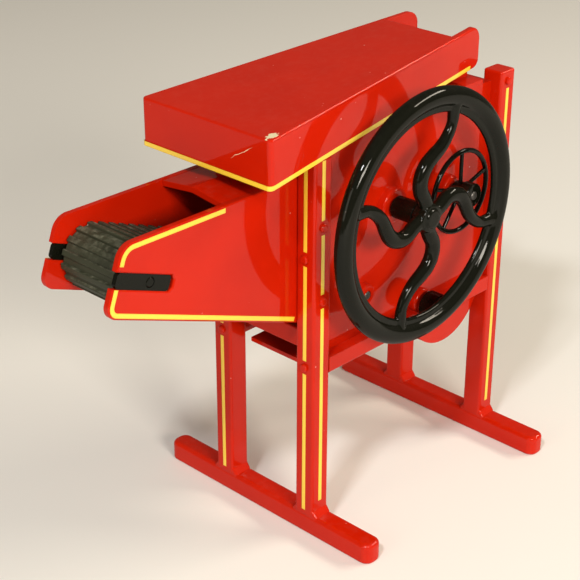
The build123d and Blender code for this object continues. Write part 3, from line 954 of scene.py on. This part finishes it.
# ---------------------------------------------------------------- flywheel
@dataclass
class Flywheel:
    """The cast flywheel: round rim with an inner bead, four S spokes and a hub. Sizes are in millimetres.

    Each station of a spoke's middle line gives its radius from the wheel's centre, its angle in degrees and
    its thickness as a share of spoke_half.
    """

    centre: Vector
    spokes: int = 4
    rim_outer: float = 40.3
    rim_half: float = 3.1
    rim_depth: float = 0.84
    bead_radius: float = 33.4
    bead_half: float = 1.2
    spoke_half: float = 2.6
    spoke_depth: float = 0.82
    hub_radius: float = 4.4
    hub_low: float = -2.3
    hub_high: float = 2.5
    nose_step: float = 1.5
    nose_proud: float = 0.7
    nose_round: float = 0.5
    ring_sides: int = 144
    section_sides: int = 28
    hub_sides: int = 64
    voxel: float = 0.34
    smoothing: float = 0.5
    smoothing_rounds: int = 6
    stations: tuple[tuple[float, float, float], ...] = (
        (36.2, 71.5, 0.95), (33.0, 71.0, 0.84), (29.0, 69.5, 0.74), (25.0, 71.0, 0.80),
        (21.5, 76.0, 0.88), (19.0, 85.0, 0.95), (16.8, 95.0, 1.0), (14.0, 104.0, 1.0),
        (10.5, 110.0, 1.0), (6.5, 105.0, 1.0), (2.0, 80.0, 1.0),
    )

    def flatten(self, piece: bpy.types.Object, depth: float) -> None:
        """Thin a piece along the wheel's axis, about the wheel's middle plane.

        Args:
            piece: The piece.
            depth: The share of its depth that is left.
        """
        select_only(piece)
        bpy.ops.object.mode_set(mode="EDIT")
        bpy.ops.mesh.select_all(action="SELECT")
        bpy.ops.transform.resize(value=(1, depth, 1), center_override=self.centre)
        bpy.ops.object.mode_set(mode="OBJECT")

    def ring(self, radius: float, half: float) -> bpy.types.Object:
        """Make a round ring standing in the wheel's plane.

        Args:
            radius: Radius of the ring's middle line.
            half: Radius of its section.

        Returns:
            The ring.
        """
        clear_selection()
        bpy.ops.mesh.primitive_torus_add(
            major_radius=radius * MM, minor_radius=half * MM, major_segments=self.ring_sides,
            minor_segments=self.section_sides, location=self.centre, rotation=(math.pi / 2, 0, 0),
        )
        ring = bpy.context.object
        settle(ring)
        self.flatten(ring, self.rim_depth)
        return ring

    def spoke(self, turn: float) -> bpy.types.Object:
        """Make one S spoke, flared where it meets the rim and the hub.

        Args:
            turn: How far it is turned from the stations' angles, in radians.

        Returns:
            The spoke.
        """
        clear_selection()
        bpy.ops.curve.primitive_bezier_curve_add(location=(0, 0, 0))
        curve = bpy.context.object
        line = curve.data.splines[0]
        line.bezier_points.add(len(self.stations) - len(line.bezier_points))
        for point, (radius, angle, thick) in zip(line.bezier_points, self.stations):
            spot = math.radians(angle) + turn
            point.co = self.centre + Vector((math.cos(spot), 0, math.sin(spot))) * radius * MM
            point.handle_left_type = "AUTO"
            point.handle_right_type = "AUTO"
            point.radius = thick
        curve.data.resolution_u = 10
        curve.data.bevel_depth = self.spoke_half * MM
        curve.data.bevel_resolution = 6
        curve.data.use_fill_caps = True
        bpy.ops.object.convert(target="MESH")
        spoke = bpy.context.object
        settle(spoke)
        self.flatten(spoke, self.spoke_depth)
        return spoke

    def hub(self) -> bpy.types.Object:
        """Make the hub with a stepped, rounded nose.

        Returns:
            The hub.
        """
        clear_selection()
        bpy.ops.mesh.primitive_cylinder_add(
            vertices=self.hub_sides, radius=self.hub_radius * MM, depth=(self.hub_high - self.hub_low) * MM,
            location=self.centre + RIGHT * (self.hub_low + self.hub_high) / 2 * MM,
            rotation=(math.pi / 2, 0, 0),
        )
        hub = bpy.context.object
        settle(hub)
        bpy.ops.object.mode_set(mode="EDIT")
        bpy.ops.mesh.select_mode(type="FACE")
        bpy.ops.mesh.select_all(action="DESELECT")
        bpy.ops.object.mode_set(mode="OBJECT")
        for face in hub.data.polygons:
            face.select = face.normal.y < -0.9
        bpy.ops.object.mode_set(mode="EDIT")
        bpy.ops.mesh.inset(thickness=self.nose_step * MM)
        bpy.ops.mesh.extrude_region_move(TRANSFORM_OT_translate={"value": -RIGHT * self.nose_proud * MM})
        bpy.ops.object.mode_set(mode="OBJECT")
        apply_modifier(hub, "BEVEL", width=self.nose_round * MM, segments=3, limit_method="ANGLE")
        return hub

    def build(self, material: bpy.types.Material) -> None:
        """Cast the wheel in one piece.

        Args:
            material: The black enamel.
        """
        rim = self.ring(self.rim_outer - self.rim_half, self.rim_half)
        bead = self.ring(self.bead_radius, self.bead_half)
        spokes = [self.spoke(math.tau * number / self.spokes) for number in range(self.spokes)]
        select_only(rim, bead, *spokes, self.hub())
        bpy.ops.object.join()
        wheel = bpy.context.object
        recalculate(wheel)
        apply_modifier(wheel, "REMESH", mode="VOXEL", voxel_size=self.voxel * MM)
        apply_modifier(wheel, "SMOOTH", factor=self.smoothing, iterations=self.smoothing_rounds)
        select_only(wheel)
        bpy.ops.object.shade_smooth()
        finish_piece(wheel, "flywheel_casting", material, "flywheel_set")
        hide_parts("flywheel")


# ---------------------------------------------------------------- studio
@dataclass(frozen=True)
class SoftLight:
    """One rectangular light, in metres and watts."""

    name: str
    place: Point
    size: tuple[float, float]
    power: float
    colour: Colour = (1, 1, 1)

    def hang(self, target: Vector) -> None:
        """Hang the light.

        Args:
            target: The point that it is aimed at.
        """
        lamp = bpy.data.lights.new(self.name, "AREA")
        lamp.shape = "RECTANGLE"
        lamp.size, lamp.size_y = self.size
        lamp.energy = self.power
        lamp.color = self.colour
        holder = bpy.data.objects.new(self.name, lamp)
        bpy.context.scene.collection.objects.link(holder)
        holder.location = self.place
        holder.rotation_euler = (target - Vector(self.place)).to_track_quat("-Z", "Y").to_euler()


@dataclass
class Studio:
    """A pale floor, soft lights and the camera.

    The camera's eye and lens are in millimetres and its angles in degrees. Other places and sizes are in
    metres.
    """

    eye: Point = (-294.8, -283.16, 278.23)
    azimuth: float = -46.226
    elevation: float = 26.327
    roll: float = 0.14
    lens: float = 91.17
    target: Point = (0, 0, 0.08)
    floor_size: float = 6.0
    floor_drop: float = 0.05 * MM
    floor_colour: Colour = (0.84, 0.83, 0.80)
    floor_roughness: float = 0.7
    air_colour: Colour = (0.88, 0.78, 0.62)
    air_strength: float = 0.24
    lights: tuple[SoftLight, ...] = (
        SoftLight("key", (-0.35, -1.00, 0.55), size=(0.36, 0.22), power=9.0, colour=(1.0, 0.92, 0.80)),
        SoftLight("fill", (-1.1, -0.1, 0.45), size=(0.5, 0.5), power=2.2, colour=(1.0, 0.90, 0.74)),
        SoftLight("edge", (0.75, -0.55, 0.72), size=(0.60, 0.14), power=7.0, colour=(1.0, 0.90, 0.74)),
        SoftLight("glint", (-0.80, -0.35, 1.00), size=(0.14, 0.09), power=7.0),
    )

    def floor(self) -> None:
        """Lay a flat pale floor just under the skids."""
        clear_selection()
        bpy.ops.mesh.primitive_plane_add(size=self.floor_size, location=(0, 0, -self.floor_drop))
        sheet = bpy.context.object
        sheet.name = "studio_floor"
        material = bpy.data.materials.new("studio_floor")
        material.use_nodes = True
        shader = material.node_tree.nodes["Principled BSDF"]
        shader.inputs["Base Color"].default_value = (*self.floor_colour, 1.0)
        shader.inputs["Roughness"].default_value = self.floor_roughness
        sheet.data.materials.append(material)

    def camera(self) -> None:
        """Set the camera at its eye point."""
        data = bpy.data.cameras.new("camera")
        data.lens = self.lens
        data.sensor_width = 36.0
        data.clip_start = 0.01
        holder = bpy.data.objects.new("camera", data)
        bpy.context.scene.collection.objects.link(holder)
        turn, lift, roll = (math.radians(angle) for angle in (self.azimuth, self.elevation, self.roll))
        back = Vector((math.sin(turn) * math.cos(lift), -math.cos(turn) * math.cos(lift), math.sin(lift)))
        right = UP.cross(back).normalized()
        up = back.cross(right)
        rolled_right = right * math.cos(roll) + up * math.sin(roll)
        rolled_up = -right * math.sin(roll) + up * math.cos(roll)
        turned = Matrix((rolled_right, rolled_up, back)).transposed().to_4x4()
        holder.matrix_world = Matrix.Translation(mm(*self.eye)) @ turned
        bpy.context.scene.camera = holder

    def air(self) -> None:
        """Fill the room with a dim warm light."""
        world = bpy.data.worlds.new("studio")
        world.use_nodes = True
        background = world.node_tree.nodes["Background"]
        background.inputs["Color"].default_value = (*self.air_colour, 1.0)
        background.inputs["Strength"].default_value = self.air_strength
        bpy.context.scene.world = world
        bpy.context.scene.view_settings.view_transform = "Standard"

    def build(self) -> None:
        """Set the whole studio."""
        self.camera()
        self.floor()
        for light in self.lights:
            light.hang(Vector(self.target))
        self.air()


# ---------------------------------------------------------------- whole machine
@dataclass
class CastBody:
    """The carried-over parts, dressed by their material slots."""

    materials: dict[str, bpy.types.Material]
    slots: dict[str, str]

    def dress(self, nodes: dict[str, bpy.types.Object]) -> None:
        """Give every carried-over part its finish: its own if it has one, or else its slot's.

        Args:
            nodes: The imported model's parts by name.
        """
        for name, node in nodes.items():
            material = self.materials.get(name, self.materials[self.slots[name]])
            if node.material_slots:
                for place in node.material_slots:
                    place.material = material
            else:
                node.data.materials.append(material)
            LOG.info("dressed %s in %s", name, material.name)


def main() -> None:
    """Build the studio, dress the machine and add the new pieces."""
    logging.basicConfig(level=logging.INFO, format="%(name)s: %(message)s")
    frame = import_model()
    kit = ShaderKit()
    palette = Palette()
    black = palette.black.build(kit)
    stripe = palette.stripe.build(kit)
    finishes = {
        "red_enamel": palette.enamel.build(kit),
        "black_enamel": black,
        "bare_steel": palette.steel.build(kit),
        "belt_rubber": palette.rubber.build(kit),
        "hood": palette.hood.build(kit),
    }
    slots = {part["node"]: part["material_slot"] for part in frame["record"]["subparts"]}
    CastBody(finishes, slots).dress(frame["nodes"])
    Studio().build()
    low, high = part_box("flywheel")
    Flywheel(centre=(low + high) / 2).build(black)
    LegStripes().build(stripe)
    HoodStripe().build(stripe)
    FeederStripes().build(stripe)
    clear_selection()


if __name__ == "__main__":
    main()
